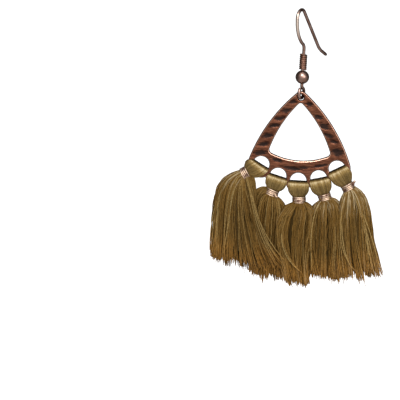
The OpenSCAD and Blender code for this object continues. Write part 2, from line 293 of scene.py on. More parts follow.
def add_node(
    tree: bpy.types.NodeTree,
    kind: str,
    settings: dict[str, object] | None = None,
    inputs: dict[str | int, object] | None = None,
) -> bpy.types.Node:
    """Add a node with its settings, values and links.

    Args:
        tree: node tree to add to.
        kind: Blender's name of the node's type.
        settings: properties of the node.
        inputs: value or output socket for each input, by its name or number.

    Returns:
        The node.
    """
    node = tree.nodes.new(kind)
    for name, value in (settings or {}).items():
        setattr(node, name, value)
    for name, value in (inputs or {}).items():
        if isinstance(value, bpy.types.NodeSocket):
            tree.links.new(value, node.inputs[name])
        else:
            node.inputs[name].default_value = value
    return node


def fresh_material(name: str) -> tuple[bpy.types.Material, bpy.types.NodeTree]:
    """Make a material whose node tree is empty.

    Args:
        name: name of the material.

    Returns:
        The material and its node tree.
    """
    material = bpy.data.materials.new(name)
    material.use_nodes = True
    material.node_tree.nodes.clear()
    return material, material.node_tree


@dataclass(frozen=True)
class Layer:
    """A colour over others, whose cover goes from start to end as a pattern goes from low to high."""

    pattern: bpy.types.NodeSocket
    low: float
    high: float
    colour: str
    start: float | bpy.types.NodeSocket = 0.0
    end: float = 1.0
    soft: bool = False


def lay_colours(tree: bpy.types.NodeTree, base: str, layers: Sequence[Layer]) -> bpy.types.NodeSocket:
    """Lay colours over one another, each where its own pattern says.

    Args:
        tree: node tree to add to.
        base: hex colour below them all.
        layers: the layers, the lowest first.

    Returns:
        Socket of the colour that is seen.
    """
    colour = linear(base)
    for layer in layers:
        ease = "SMOOTHSTEP" if layer.soft else "LINEAR"
        cover = add_node(tree, "ShaderNodeMapRange", {"interpolation_type": ease}, {
            "Value": layer.pattern, "From Min": layer.low, "From Max": layer.high,
            "To Min": layer.start, "To Max": layer.end})
        mixed_in = add_node(tree, "ShaderNodeMix", {"data_type": "RGBA", "clamp_factor": True}, {
            0: cover.outputs[0], 6: colour, 7: linear(layer.colour)})
        colour = mixed_in.outputs[2]
    return colour


@dataclass(frozen=True)
class AntiqueCopper:
    """Cast, hammered and oxidised copper: brown and streaky, almost black in its dents, bright at its rims.

    The rims are rubbed bright, with a painted highlight on them, and the walls are darkened by patina and
    painted shade. Attribute dent runs from 0 on the ridges between the hammer marks to 1 in their
    middles, and rim from 0 on the plate's edges to 1 on its faces; a third attribute says how bright
    rubbing and painted highlight leave the rim there.
    """

    body: str = "#4e2e20"
    ridge: str = "#84543e"
    red: str = "#3a1c14"
    dent: str = "#2b2422"
    wall_patina_shade: str = "#281812"
    worn_highlight: str = "#e4b8a0"
    roughness: float = 0.36
    patch_mm: float = 1.6
    streak_mm: Triple = (1.5, 1.0, 0.26)
    scratch_mm: float = 0.08
    fray: float = 0.9

    def material(self) -> bpy.types.Material:
        """Build the finish.

        Returns:
            The material.
        """
        material, tree = fresh_material("antique_hammered_copper")
        place = add_node(tree, "ShaderNodeTexCoord").outputs["Object"]
        dent, rim, wear = (
            add_node(tree, "ShaderNodeAttribute", {"attribute_name": name}).outputs["Fac"]
            for name in ("dent", "rim", "wear")
        )
        patches = add_node(tree, "ShaderNodeTexNoise", {}, {
            "Vector": place, "Scale": 1 / (self.patch_mm * MM), "Detail": 3.0, "Roughness": 0.6}).outputs[0]
        # Streaks across the legs, as the hammer and the polishing left them
        drawn = add_node(tree, "ShaderNodeMapping", {}, {
            "Vector": place, "Scale": tuple(1 / (mm * MM) for mm in self.streak_mm)})
        streaks = add_node(tree, "ShaderNodeTexNoise", {}, {
            "Vector": drawn.outputs[0], "Scale": 1.0, "Detail": 4.0, "Roughness": 0.65}).outputs[0]
        frayed = add_node(tree, "ShaderNodeMath", {"operation": "MULTIPLY_ADD"}, {
            0: streaks, 1: -self.fray, 2: dent}).outputs[0]
        colour = lay_colours(tree, self.red, (
            Layer(patches, 0.42, 0.6, self.body),
            Layer(streaks, 0.45, 0.6, self.ridge),
            Layer(dent, 0.0, 0.3, self.ridge, start=0.35, end=0.0, soft=True),
            Layer(frayed, -0.3, 0.4, self.dent, end=0.88, soft=True),
            # Rims rubbed bright, with a painted highlight over the rubbing
            Layer(rim, 0.7, 1.0, self.worn_highlight, start=wear, end=0.0, soft=True),
            # Walls at the plate's edges, darkened by patina and by painted shade
            Layer(rim, 0.3, 0.6, self.wall_patina_shade, start=1.0, end=0.0, soft=True),
        ))
        bump = add_node(tree, "ShaderNodeBump", {}, {
            "Height": streaks, "Strength": 0.5, "Distance": self.scratch_mm * MM})
        shader = add_node(tree, "ShaderNodeBsdfPrincipled", {}, {
            "Base Color": colour, "Metallic": 1.0, "Roughness": self.roughness,
            "Normal": bump.outputs[0]})
        add_node(tree, "ShaderNodeOutputMaterial", {}, {"Surface": shader.outputs[0]})
        return material


@dataclass(frozen=True)
class LacqueredWire:
    """Drawn jewellery wire under lacquer: smooth, with stains in soft patches.

    Attribute shade runs from 0 to -1 where a pale highlight is painted on it.
    """

    name: str
    body: str
    stain: str
    roughness: float
    painted_highlight: str = "#f2dccb"
    patch_mm: float = 2.2
    patch_detail: float = 3.0
    patch_grain: float = 0.55
    stained: tuple[float, float] = (0.42, 0.66)

    def material(self) -> bpy.types.Material:
        """Build the finish.

        Returns:
            The material.
        """
        material, tree = fresh_material(self.name)
        place = add_node(tree, "ShaderNodeTexCoord").outputs["Object"]
        patches = add_node(tree, "ShaderNodeTexNoise", {}, {
            "Vector": place, "Scale": 1 / (self.patch_mm * MM), "Detail": self.patch_detail,
            "Roughness": self.patch_grain}).outputs[0]
        shade = add_node(tree, "ShaderNodeAttribute", {"attribute_name": "shade"}).outputs["Fac"]
        colour = lay_colours(tree, self.body, (
            Layer(patches, *self.stained, self.stain),
            # Pale painted highlight where attribute shade falls below 0
            Layer(shade, 0.0, -1.0, self.painted_highlight),
        ))
        shader = add_node(tree, "ShaderNodeBsdfPrincipled", {}, {
            "Base Color": colour, "Metallic": 1.0, "Roughness": self.roughness})
        add_node(tree, "ShaderNodeOutputMaterial", {}, {"Surface": shader.outputs[0]})
        return material


# Bronzed ear wire and bead: between mauve and brown, with a pale painted highlight on the ear wire's bow
MAUVE_BRONZE = LacqueredWire("mauve_bronze", body="#a98a7e", stain="#846456", roughness=0.33)
# The coil's bronze: browner and duller than the ear wire's
DARKER_BRONZE = LacqueredWire("mauve_bronze_darker", body="#96705f", stain="#6a4a3c", roughness=0.4)
# Rose craft wire of the ties: bright, with brown in soft patches
ROSE_WIRE = LacqueredWire("rose_craft_wire", body="#dcc2aa", stain="#8e6a5c", roughness=0.52,
                          patch_mm=0.8, patch_detail=1.0, patch_grain=0.5, stained=(0.5, 0.66))


@dataclass(frozen=True)
class OliveRayon:
    """Rayon tassel thread: silky, olive gold, browner at its cut ends, with painted shade between the
    threads.

    Attribute tint says how light a thread is, along runs from 0 to 1 down it, and shade runs from 0 to 1
    into painted shade and from 0 to -1 into a pale painted gleam.
    """

    dark: str = "#402e10"
    mid: str = "#6a4c20"
    light: str = "#90794c"
    cut: str = "#8a5e26"
    deep: str = "#120b03"
    gleam: str = "#e6d6b0"
    shine: str = "#ffdf9c"
    roughness: float = 0.5
    thread_mm: float = 18.6
    ply_mm: float = 0.31
    ply_rows: float = 70

    def material(self) -> bpy.types.Material:
        """Build the finish.

        Returns:
            The material.
        """
        material, tree = fresh_material("olive_rayon_thread")
        tint, along, shade = (
            add_node(tree, "ShaderNodeAttribute", {"attribute_name": name}).outputs["Fac"]
            for name in ("tint", "along", "shade")
        )
        # Painted shade of the ply twist breaks each thread into dark and light dashes, which are drawn
        # about three times as long as real ones so that they show
        place = add_node(tree, "ShaderNodeCombineXYZ", {}, {"X": along, "Y": tint})
        drawn = add_node(tree, "ShaderNodeMapping", {}, {
            "Vector": place.outputs[0], "Scale": (self.thread_mm / self.ply_mm, self.ply_rows, 1.0)})
        ply_shade = add_node(tree, "ShaderNodeTexNoise", {}, {
            "Vector": drawn.outputs[0], "Scale": 1.0, "Detail": 2.0}).outputs[0]
        colour = lay_colours(tree, self.dark, (
            Layer(tint, 0.0, 0.5, self.mid),
            Layer(tint, 0.5, 1.0, self.light),
            Layer(along, 0.8, 1.0, self.cut, end=0.75),
            Layer(ply_shade, 0.36, 0.56, self.dark, start=0.55, end=0.0),
            # Painted gleam where shade falls below 0, and painted shade where it rises above 0
            Layer(shade, 0.0, -1.0, self.gleam),
            Layer(shade, 0.0, 1.0, self.deep),
        ))
        shader = add_node(tree, "ShaderNodeBsdfPrincipled", {}, {
            "Base Color": colour, "Roughness": self.roughness, "Specular IOR Level": 0.35,
            "Specular Tint": linear(self.shine)})
        add_node(tree, "ShaderNodeOutputMaterial", {}, {"Surface": shader.outputs[0]})
        return material


@dataclass(frozen=True)
class PaleFloor:
    """Plain white studio floor, lit from within so that it stays even."""

    colour: str = "#e8e8e8"
    glow: float = 0.9

    def material(self) -> bpy.types.Material:
        """Build the finish.

        Returns:
            The material.
        """
        material, tree = fresh_material("pale_floor")
        shader = add_node(tree, "ShaderNodeBsdfPrincipled", {}, {
            "Base Color": linear(self.colour), "Roughness": 1.0, "Specular IOR Level": 0.0,
            "Emission Color": linear("#ffffff"), "Emission Strength": self.glow})
        add_node(tree, "ShaderNodeOutputMaterial", {}, {"Surface": shader.outputs[0]})
        return material


# The earring


@dataclass(frozen=True)
class Mark:
    """One hammer mark on the front: its middle, length, width and tilt in the plane of the plate."""

    place: Vector
    long: float
    wide: float
    tilt: float
    steep: float = 1.6

    def depth(self, point: Vector) -> float:
        """Work out how deep the mark is at a point.

        Args:
            point: place in the plane of the plate.

        Returns:
            Depth from 1 in the mark's middle to 0 far from it.
        """
        way = point - self.place
        u = way.dot(polar(1, self.tilt)) / (0.5 * self.long)
        v = way.dot(polar(1, self.tilt + 90)) / (0.5 * self.wide)
        return math.exp(-((u * u + v * v) ** self.steep))


# Marks on the long sides: side, share of the way down, share of the width inward, length and width
SIDE_MARKS = (
    (-1, 0.11, 0.28, 0.75, 0.8),
    (-1, 0.24, 0.4, 1, 0.95),
    (-1, 0.37, 0.42, 1.05, 0.8),
    (-1, 0.48, 0.44, 1, 0.8),
    (-1, 0.63, 0.46, 1.15, 1),
    (-1, 0.75, 0.5, 1.05, 0.9),
    (-1, 0.87, 0.55, 1.35, 1),
    (1, 0.13, 0.36, 0.7, 0.8),
    (1, 0.315, 0.45, 1.0, 0.85),
    (1, 0.45, 0.5, 1.15, 1.2),
    (1, 0.57, 0.6, 0.95, 0.8),
    (1, 0.675, 0.45, 0.9, 0.7),
    (1, 0.81, 0.5, 1.3, 1.6),
)
# Marks along the sill: steps along the row of holes, share of the sill upward, length and width
SILL_MARKS = ((-1.5, 0.45, 1.2, 0.7), (-0.46, 0.3, 2, 0.75), (0.35, 0.45, 1.0, 0.5), (1.35, 0.25, 1.6, 0.6))


@dataclass
class HammeredFrame:
    """The cast plate with its window, its top hole and its five tassel holes."""

    apex: Vector
    thick: float = 1.15
    apex_hole_r: float = 0.65
    apex_rim: float = 0.72
    apex_lean: float = 0.44
    drop: float = 18.45
    side_r: float = 36
    hole_r: float = 1.8
    row_r: float = 12.4
    row_step: float = 21.1
    bar_w: float = 1
    corner_w: float = 1.2
    side_w: float = 3.2
    window_side_r: float = 27.5
    sill_w: float = 2.65
    sill_r: float = 15
    window_corner_r: float = 0.9
    window_top_r: float = 0.6
    apex_bridge: float = 0.6
    rims: tuple[float, ...] = (0.13, 0.15)
    rim_drops: tuple[float, ...] = (0.2, 0.06, 0.0)
    grid: float = 0.22
    hammer_mm: float = 1.5
    hammer_depth: float = 0.03
    hammer_layer: float = 9.0
    mark: Triple = (2.3, 1.2, 0.14)
    mark_tilt: float = 12
    # Largest angle between two points of a wide bow, a lobe, a corner and a hole
    bow_step: float = 1.5
    lobe_step: float = 8
    corner_step: float = 10
    hole_step: float = 7.5
    # How bright the rims are rubbed, with a painted highlight, on the sides, at the holes and on the sill;
    # how near the apex hole, a hole and the sill's edge a point still counts as theirs; and the share of
    # the drop below which the sill lies
    side_wear: float = 0.38
    hole_wear: float = 0.3
    sill_wear: float = 1.0
    apex_reach: float = 0.4
    hole_reach: float = 0.3
    sill_reach: float = 0.4
    sill_depth: float = 0.6

    def __post_init__(self) -> None:
        """Work out the holes, the lobes round them, the sill, the long sides and the hammer marks."""
        self.top = Vector((0, 0))
        self.top_r = self.apex_hole_r + self.apex_rim
        self.row_centre = Vector((self.apex_lean, self.row_r - self.drop))
        self.holes = [self.row_centre + polar(self.row_r, -90 + i * self.row_step) for i in range(-2, 3)]
        self.lobes = [self.hole_r + (self.corner_w if i in (0, 4) else self.bar_w) for i in range(5)]
        self.sill = self.row_centre + Vector((0, self.sill_r + self.hole_r + self.sill_w - self.row_r))
        right_reach, left_reach = self.side_r - self.lobes[4], self.side_r - self.lobes[0]
        self.right = meet(self.holes[4], right_reach, self.top, self.side_r - self.top_r)
        self.left = meet(self.top, self.side_r - self.top_r, self.holes[0], left_reach)
        self.marks = [self.side_mark(*row) for row in SIDE_MARKS]
        self.marks += [self.sill_mark(*row) for row in SILL_MARKS]

    def side_mark(self, side: int, way: float, inward: float, long: float, wide: float) -> Mark:
        """Place a hammer mark on one of the long sides.

        Args:
            side: -1 for the left side and 1 for the right one.
            way: share of the way from the apex to the last hole.
            inward: share of the side's width in from the outline.
            long: length as a share of the common one.
            wide: width as a share of the common one.

        Returns:
            The mark.
        """
        centre = self.left if side < 0 else self.right
        start = bearing(centre, self.top)
        end = bearing(centre, self.holes[0 if side < 0 else 4])
        place = centre + polar(self.side_r - inward * self.side_w, mixed(start, end, way))
        return Mark(place, long * self.mark[0], wide * self.mark[1], -side * self.mark_tilt)

    def sill_mark(self, steps: float, up: float, long: float, wide: float) -> Mark:
        """Place a hammer mark between the window and the row of holes.

        Args:
            steps: place along the row, in steps from its middle hole.
            up: share of the sill's width above the holes.
            long: length as a share of the common one.
            wide: width as a share of the common one.

        Returns:
            The mark.
        """
        reach = self.row_r - self.hole_r - up * self.sill_w
        place = self.row_centre + polar(reach, -90 + steps * self.row_step)
        return Mark(place, long * self.mark[0], wide * self.mark[1], steps * self.row_step / 2)

    def cusp(self, here: int, there: int) -> float:
        """Bearing from one lobe to where its rim crosses its neighbour's, outside the row.

        Args:
            here: number of the lobe.
            there: number of its neighbour.

        Returns:
            The angle in degrees.
        """
        gap = (self.holes[there] - self.holes[here]).length
        a, b = self.lobes[here], self.lobes[there]
        off = math.degrees(math.acos((a * a - b * b + gap * gap) / (2 * gap * a)))
        return bearing(self.holes[here], self.holes[there]) + (off if there < here else -off)

    def outline(self) -> list[Vector]:
        """Draw the outer edge: the right side, the apex, the left side and the five lobes.

        Returns:
            Its points, anticlockwise.
        """
        top, right, left, holes = self.top, self.right, self.left, self.holes
        points = arc(right, self.side_r, bearing(right, holes[4]), bearing(right, top), self.bow_step)
        points += arc(top, self.top_r, bearing(right, top), bearing(left, top), self.lobe_step)[1:]
        points += arc(left, self.side_r, bearing(left, top), bearing(left, holes[0]), self.bow_step)[1:]
        for i in range(5):
            start = bearing(left, holes[0]) if i == 0 else self.cusp(i, i - 1)
            end = bearing(right, holes[4]) if i == 4 else self.cusp(i, i + 1)
            points += arc(holes[i], self.lobes[i], start, end, self.lobe_step)[1:]
        return points[:-1]

    def window(self) -> list[Vector]:
        """Draw the window's edge: three corner discs that wide arcs join.

        Returns:
            Its points, anticlockwise.
        """
        corner = self.window_corner_r
        reach = self.side_r - self.side_w - corner
        discs = [
            Vector((0, -self.apex_hole_r - self.apex_bridge - self.window_top_r)),
            meet(self.left, reach, self.sill, self.sill_r - corner),
            meet(self.sill, self.sill_r - corner, self.right, reach),
        ]
        rounds = [self.window_top_r, corner, corner]
        bows = [self.window_side_r, self.sill_r, self.window_side_r]
        centres = [
            meet(discs[i], bows[i] - rounds[i], discs[(i + 1) % 3], bows[i] - rounds[(i + 1) % 3])
            for i in range(3)
        ]
        points = []
        for i in range(3):
            enter = bearing(centres[(i + 2) % 3], discs[i])
            leave = bearing(centres[i], discs[i])
            after = bearing(centres[i], discs[(i + 1) % 3])
            points += arc(discs[i], rounds[i], enter, leave, self.corner_step)[1:]
            points += arc(centres[i], bows[i], leave, after, self.bow_step)[1:]
        return points

    def face(self) -> bmesh.types.BMesh:
        """Draw the plate's face with rings along its rims and a fine grid between them.

        Returns:
            A flat bmesh whose layer rim runs from 0 on each edge to 1 inside.
        """
        bm = bmesh.new()
        rings = [self.outline(), self.window()]
        rings.append(arc(self.top, self.apex_hole_r, 0, FULL_TURN, self.corner_step)[:-1])
        rings += [arc(hole, self.hole_r, 0, FULL_TURN, self.hole_step)[:-1] for hole in self.holes]
        for ring in rings:
            verts = [bm.verts.new((p.x, 0, p.y)) for p in ring]
            for a, b in zip(verts, verts[1:] + verts[:1]):
                bm.edges.new((a, b))
        bmesh.ops.triangle_fill(bm, use_beauty=True, edges=bm.edges[:], normal=(0, -1, 0))
        rim = bm.verts.layers.float.new("rim")
        inner = bm.faces[:]
        for step, width in enumerate(self.rims, start=1):
            bmesh.ops.inset_region(
                bm, faces=inner, use_boundary=True, use_even_offset=True, thickness=width)
            for vert in {v for f in inner for v in f.verts}:
                vert[rim] = step / len(self.rims)
        for axis, index in ((Vector((1, 0, 0)), 0), (Vector((0, 0, 1)), 2)):
            low = min(v.co[index] for v in bm.verts)
            high = max(v.co[index] for v in bm.verts)
            for i in range(1, int((high - low) / self.grid)):
                near = low + i * self.grid
                spans = {f: [v.co[index] for v in f.verts]
                         for f in bm.faces if all(v[rim] > ON_THE_FLAT for v in f.verts)}
                cut = [f for f, span in spans.items() if min(span) < near < max(span)]
                parts = {e for f in cut for e in f.edges} | {v for f in cut for v in f.verts} | set(cut)
                bmesh.ops.bisect_plane(
                    bm, geom=list(parts), dist=SAME_PLACE, plane_co=axis * near, plane_no=axis)
        return bm

    def wear(self, point: Vector) -> float:
        """Say how bright rubbing and a painted highlight leave a rim: most on the sill, least at the holes.

        Args:
            point: place in the plane of the plate.

        Returns:
            A share from 0 to 1.
        """
        if point.length < self.apex_hole_r + self.apex_reach:
            return 0.0
        if min((point - hole).length for hole in self.holes) < self.hole_r + self.hole_reach:
            return self.hole_wear
        off_sill = abs((point - self.sill).length - self.sill_r)
        if off_sill < self.sill_reach and point.y < -self.drop * self.sill_depth:
            return self.sill_wear
        return self.side_wear

    def build(self) -> bpy.types.Object:
        """Make the frame, with its hammer marks in the front.

        Returns:
            The piece.
        """
        bm = self.face()
        rim = bm.verts.layers.float["rim"]
        dent = bm.verts.layers.float.new("dent")
        wear = bm.verts.layers.float.new("wear")
        sheet = bmesh.ops.extrude_face_region(bm, geom=bm.faces[:])["geom"]
        far = {v for v in sheet if isinstance(v, bmesh.types.BMVert)}
        for vert in bm.verts:
            side = Side.BACK if vert in far else Side.FRONT
            level = vert[rim] * len(self.rims)
            low = min(int(level), len(self.rims) - 1)
            sunk = mixed(self.rim_drops[low], self.rim_drops[low + 1], level - low)
            point = Vector((vert.co.x, vert.co.z))
            vert[wear] = self.wear(point)
            if vert[rim] > ON_THE_FLAT:
                place = Vector((point.x, side.value * self.hammer_layer, point.y)) / self.hammer_mm
                sunk += self.hammer_depth * (0.5 + 0.5 * noise.noise(place))
                if side is Side.FRONT:
                    vert[dent] = min(1.0, sum(mark.depth(point) for mark in self.marks))
                    sunk += self.mark[2] * vert[dent]
            vert.co.y = side.value * (self.thick / 2 - sunk)
        bmesh.ops.triangulate(bm, faces=bm.faces[:])
        bmesh.ops.recalc_face_normals(bm, faces=bm.faces[:])
        return show("hammered_copper_frame", finish_mesh("hammered_copper_frame", bm, 55), self.apex)


@dataclass
class EarHook:
    """The ear wire: a closed loop, a stem, a front bow, a top bend, a back leg and a flared tail.

    A bend is a radius with a turn in degrees. A pale highlight is painted on the bow between the two
    heights in bright.
    """

    apex: Vector
    wire_r: float = 0.36
    yaw: float = 26
    loop_r: float = 1.16
    loop_z: float = 1.0061
    loop_end: float = 34
    kink_r: float = 0.5
    stem_top: float = 10.647
    lean: tuple[float, float] = (1.2, 62)
    bow_r: float = 6.3
    bow_rise: float = 0.15
    top: tuple[float, float] = (1.83, 136)
    back_len: float = 10.8
    flare: tuple[float, float] = (6, 23)
    tail_len: float = 2.5
    bright: tuple[float, float] = (12.8, 19.0)
    blunt: float = 0.85
    sides: int = 16
    run_step: float = 0.5
    bend_step: float = 6

    def route(self) -> list[Vector]:
        """Walk the wire's straight runs and bends from the loop's cut end.

        Returns:
            Points of its centreline, in millimetres.
        """
        rise = math.sqrt(self.loop_r**2 + 2 * self.loop_r * self.kink_r)
        side = math.degrees(math.atan(self.kink_r / rise))
        stem = self.stem_top - self.loop_z - rise
        path = [
            (0, self.loop_r, 360 - self.loop_end - side),
            (0, self.kink_r, side - 90),
            (stem, *self.lean),
            (0, self.bow_r, -self.lean[1]),
            (self.bow_rise, self.top[0], -self.top[1]),
            (self.back_len, *self.flare),
            (self.tail_len, 0, 0),
        ]
        heading = 180 + self.loop_end
        place = polar(self.loop_r, 90 + self.loop_end) + Vector((0, self.loop_z))
        points = [place.copy()]
        for run, radius, turn in path:
            if run:
                steps = max(2, round(run / self.run_step))
                points += [place + polar(run * k / steps, heading) for k in range(1, steps + 1)]
                place = points[-1].copy()
            if turn:
                way = 1 if turn > 0 else -1
                centre = place + polar(radius, heading + 90 * way)
                steps = max(3, math.ceil(abs(turn) / self.bend_step))
                start = heading - 90 * way
                points += [centre + polar(radius, start + turn * k / steps) for k in range(1, steps + 1)]
                place = points[-1].copy()
                heading += turn
        depth = math.radians(90 - self.yaw)
        return [Vector((p.x * math.cos(depth), p.x * math.sin(depth), p.y)) for p in points]

    def build(self) -> bpy.types.Object:
        """Make the wire.

        Returns:
            The piece.
        """
        route = self.route()
        crest = max(range(len(route)), key=lambda k: route[k].z)
        # Painted highlight down the front of the bow, between the two heights in bright
        low, high = self.bright
        shade = [0.0] * len(route)
        for k, point in enumerate(route[:crest]):
            share = (point.z - low) / (high - low)
            if 0 < share < 1:
                shade[k] = -math.sin(math.pi * share)
        wire = Strand(route, self.wire_r, shade=tuple(shade), blunt=self.blunt)
        return show("ear_wire", spin_strands("ear_wire", [wire], self.sides), self.apex)


@dataclass
class StemBead:
    """The drilled round bead above the loop."""

    apex: Vector
    radius: float = 1.5
    bore_r: float = 0.37
    height: float = 4.449
    rim_r: float = 0.06
    rim_turn: float = 2
    arc_step: float = 5
    sides: int = 40

    def build(self) -> bpy.types.Object:
        """Spin the bead's half section round its bore.

        Returns:
            The piece.
        """
        bm = bmesh.new()
        reach = math.degrees(math.acos(self.bore_r / self.radius)) - self.rim_turn
        section = arc(Vector((0, 0)), self.radius, -reach, reach, self.arc_step)
        section = [Vector((self.bore_r, section[0].y + self.rim_r))] + section
        section.append(Vector((self.bore_r, section[-1].y - self.rim_r)))
        verts = [bm.verts.new((p.x, 0, p.y)) for p in section]
        edges = [bm.edges.new(pair) for pair in zip(verts, verts[1:] + verts[:1])]
        bmesh.ops.spin(bm, geom=verts + edges, cent=(0, 0, 0), axis=(0, 0, 1), dvec=(0, 0, 0),
                       angle=2 * math.pi, steps=self.sides, use_merge=True, use_duplicate=False)
        bmesh.ops.remove_doubles(bm, verts=bm.verts[:], dist=SAME_PLACE)
        bmesh.ops.recalc_face_normals(bm, faces=bm.faces[:])
        bmesh.ops.translate(bm, verts=bm.verts[:], vec=(0, 0, self.height))
        return show("stem_bead", finish_mesh("stem_bead", bm, 50), self.apex)


@dataclass
class StemCoil:
    """The close-wound coil that rests on the bead."""

    apex: Vector
    wire_r: float = 0.23
    radius: float = 0.63
    pitch: float = 0.43
    turns: float = 7.7
    foot: float = 6.131
    steps: int = 28
    blunt: float = 0.8
    sides: int = 10

    def build(self) -> bpy.types.Object:
        """Wind the coil.

        Returns:
            The piece.
        """
        count = round(self.turns * self.steps)
        route = []
        for k in range(count + 1):
            turn = self.turns * k / count
            flat = polar(self.radius, 360 * turn)
            route.append(Vector((flat.x, flat.y, self.foot + self.pitch * turn)))
        wire = Strand(route, self.wire_r, blunt=self.blunt)
        return show("stem_coil", spin_strands("stem_coil", [wire], self.sides), self.apex)


@dataclass(frozen=True)
class Fall:
    """How one tassel hangs, in degrees, millimetres and shares of the common sizes.

    Attributes:
        lean: turn of its neck from straight down, to the right.
        drop: share of the common way from the hole to the tie.
        width: share of the skirt's common width.
        length: share of the skirt's common length.
        leave: share of its length over which the skirt still follows the neck.
        swing: share of its width that it has swung out by then.
        tilt: turn of that swing, anticlockwise.
        slant: how far left of its foot the hanging part starts.
        shift: how far its foot lies to the right and to the back.
        flare: how far its foot flares to the left and to the right.
        cut: slope by which its cut ends rise to the right.
        tone: how much deeper its shade is.
        gleam: how pale the painted gleam on the silk is near its neck.
    """

    lean: float
    drop: float
    width: float
    length: float
    leave: float
    swing: float
    tilt: float
    slant: float
    shift: tuple[float, float]
    flare: tuple[float, float]
    cut: float
    tone: float
    gleam: float


# A row for each tassel from left to right, with its columns in the order of the fields above
FALLS = (
    Fall(-56, 0.99, 1.16, 1.05, 0.18, 1.0, 6, 0.0, (-2.3, -0.7), (0.2, 8.2), -0.38, 0.14, 0.3),
    Fall(-17, 0.94, 0.84, 0.97, 0.06, 1.2, -5, 0.3, (-0.2, 0.9), (0.8, 0.7), -0.1, 0.08, 0.0),
    Fall(6, 1.01, 1.02, 0.95, 0.13, 1.6, 2, 2.6, (0.8, -0.6), (-0.8, -1.2), 0.0, 0.0, 0.04),
    Fall(21, 1.05, 0.82, 0.93, 0.1, 1.6, 6, 1.0, (1.6, 0.7), (1.8, 0.6), 0.0, 0.03, 0.32),
    Fall(34, 1.14, 1.08, 1.0, 0.15, 0.85, 10, 2.2, (3.1, -0.5), (1.6, 1.7), 0.1, -0.02, 0.34),
)


# Loose threads that lie over the skirts, by tassel: control points about the tie, and their number
STRAYS: dict[int, tuple[tuple[list[Triple], int], ...]] = {
    0: (
        ([(-0.4, -0.6, 0.2), (-4.8, -2.6, -1.0), (-6.4, -3.2, -6.0), (-5.2, -3.0, -17.5)], 14),
        ([(-0.2, -0.8, 0.0), (-3.2, -3.8, -1.0), (-3.6, -4.2, -7.0), (-3.0, -3.8, -18.5)], 8),
        ([(0.8, -0.2, 0.2), (2.6, -0.8, -0.4), (2.1, -1.6, -5.0), (3.0, -2.2, -16.4)], 26),
        ([(0.6, -0.4, 0.0), (1.7, -1.6, -0.8), (1.5, -2.2, -6.0), (4.4, -3.0, -17.0)], 34),
        ([(0.4, -0.7, -0.4), (2.3, -2.6, -6.0), (2.6, -3.4, -12.0), (7.4, -3.8, -17.8)], 40),
        ([(0.2, -0.8, -0.4), (2.6, -3.8, -6.0), (3.6, -4.2, -12.5), (9.0, -4.6, -18.4)], 5),
    ),
    1: (
        ([(-0.8, -0.3, 0.3), (-4.6, -0.3, 1.0), (-4.6, -0.6, -2.2), (-3.4, -1.0, -15.0)], 56),
        ([(-0.5, -0.6, 0.0), (-3.6, -0.8, 0.8), (-4.0, -1.1, -2.6), (-2.6, -1.8, -15.4)], 44),
    ),
    2: (
        ([(-0.5, -0.8, -0.6), (-5.0, -3.6, -5.0), (-4.0, -4.0, -11.5), (1.0, -4.3, -15.2)], 3),
    ),
    3: (
        ([(-0.2, -0.8, -0.5), (-3.2, -3.6, -3.0), (-2.8, -3.6, -9.0), (-1.2, -3.0, -17.0)], 4),
        ([(0.4, -0.8, -0.5), (2.6, -3.6, -2.6), (3.0, -3.6, -8.0), (2.6, -3.0, -17.0)], 4),
    ),
    4: (
        ([(-0.3, -0.8, -0.5), (-1.6, -3.4, -5.0), (-1.8, -3.8, -13.0), (2.2, -3.8, -18.0)], 2),
        ([(0.5, -0.8, -0.4), (3.0, -3.2, -2.5), (4.4, -3.2, -8.0), (6.6, -2.8, -18.0)], 6),
    ),
}


@dataclass
class Neck:
    """Where one tassel hangs: its hole in the frame, its neck, its tie and its own run of chance."""

    number: int
    frame: HammeredFrame
    fall: Fall
    tie_drop: float = 4.1
    tie_half: float = 0.77
    radius: float = 1.24
    turn_kept: float = 0.68
    rng: random.Random = field(init=False)

    def __post_init__(self) -> None:
        """Work out where the hole and the tie are, and how the loop over the bar is turned."""
        self.rng = random.Random(100 + self.number)
        hole = self.frame.holes[self.number]
        self.hole = Vector((hole.x, 0, hole.y))
        self.way = self.tie_drop * self.fall.drop * down(self.fall.lean)
        self.tie = self.hole + self.way
        self.bar_lean = self.turn_kept * (self.number - 2) * self.frame.row_step


@dataclass(frozen=True)
class ThreadHabit:
    """How the locks of a skirt differ, and the threads within them.

    A pair is a range that a value is drawn from, or a middle with its spread, and a single value is a
    spread round 0 or a share; lengths are in millimetres.
    """

    lock_share: tuple[float, float] = (0.15, 1)
    lock_pull: tuple[float, float] = (0.05, 0.32)
    lock_sway: float = 0.2
    lock_tint: float = 0.04
    lock_cut: float = 0.014
    lock_bend: float = 3.1
    share: tuple[float, float] = (0.25, 1)
    stand_out: tuple[float, ...] = (1.0, 1.0, 1.06)
    cut: float = 0.016
    sway: tuple[float, float] = (0.2, 0.14)
    sway_at_neck: float = 0.2
    phase: tuple[float, float] = (0, 6.28)
    speed: tuple[float, float] = (3, 7)
    curl: tuple[float, float] = (24, 40)
    crimp: tuple[float, float] = (0.05, 0.13)
    gleam: tuple[float, ...] = (0.2, 0.2, 0.2, 0.2, 1.0, 1.3)
    tint: tuple[float, float] = (0.48, 0.13)
    thick: tuple[float, float] = (0.8, 1.15)
    # A lock draws its threads soon after the neck, and lets them go again towards their cut ends
    pull: tuple[float, float] = (0.5, 1.1)
    pull_soon: float = 2.2
    pull_full: float = 1.15
    pull_lost: float = 0.5


@dataclass(frozen=True)
class Lock:
    """Threads of a skirt that were drawn together: their common place, pull, sway, tint and length."""

    angle: float
    share: float
    pull: float
    sway: Vector
    tint: float
    cut: float


